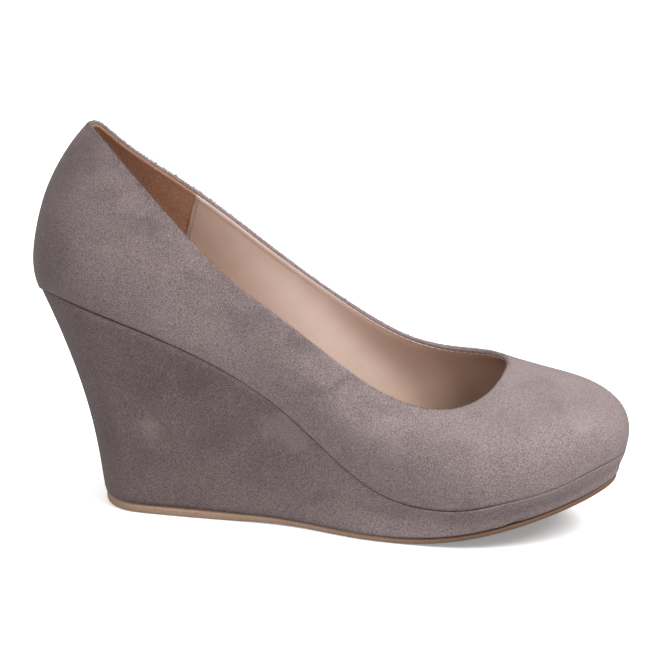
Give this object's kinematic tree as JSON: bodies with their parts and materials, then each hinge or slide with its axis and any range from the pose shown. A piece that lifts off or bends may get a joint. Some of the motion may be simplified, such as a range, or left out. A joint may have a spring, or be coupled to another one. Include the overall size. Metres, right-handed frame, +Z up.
{
  "type": "wedge pump",
  "caption": "Right wedge pump with a round toe, a low-cut hollow upper on a covered platform wedge, an insole and a thin outsole.",
  "frame": {"origin": "centre of the bounding box in X and Y, on the floor under the sole", "axes": "+X from heel to toe, +Y towards the inner (medial) side of the right foot, +Z up"},
  "size_m": [0.2348, 0.0834, 0.1475],
  "materials": {
    "suede": "brushed micro-suede, matte",
    "insole": "smooth satin lining",
    "outsole": "smooth semi-matte"
  },
  "bodies": {
    "root": {"upper": "suede", "wedge": "suede", "insole": "insole", "outsole": "outsole"}
  },
  "joints": []
}
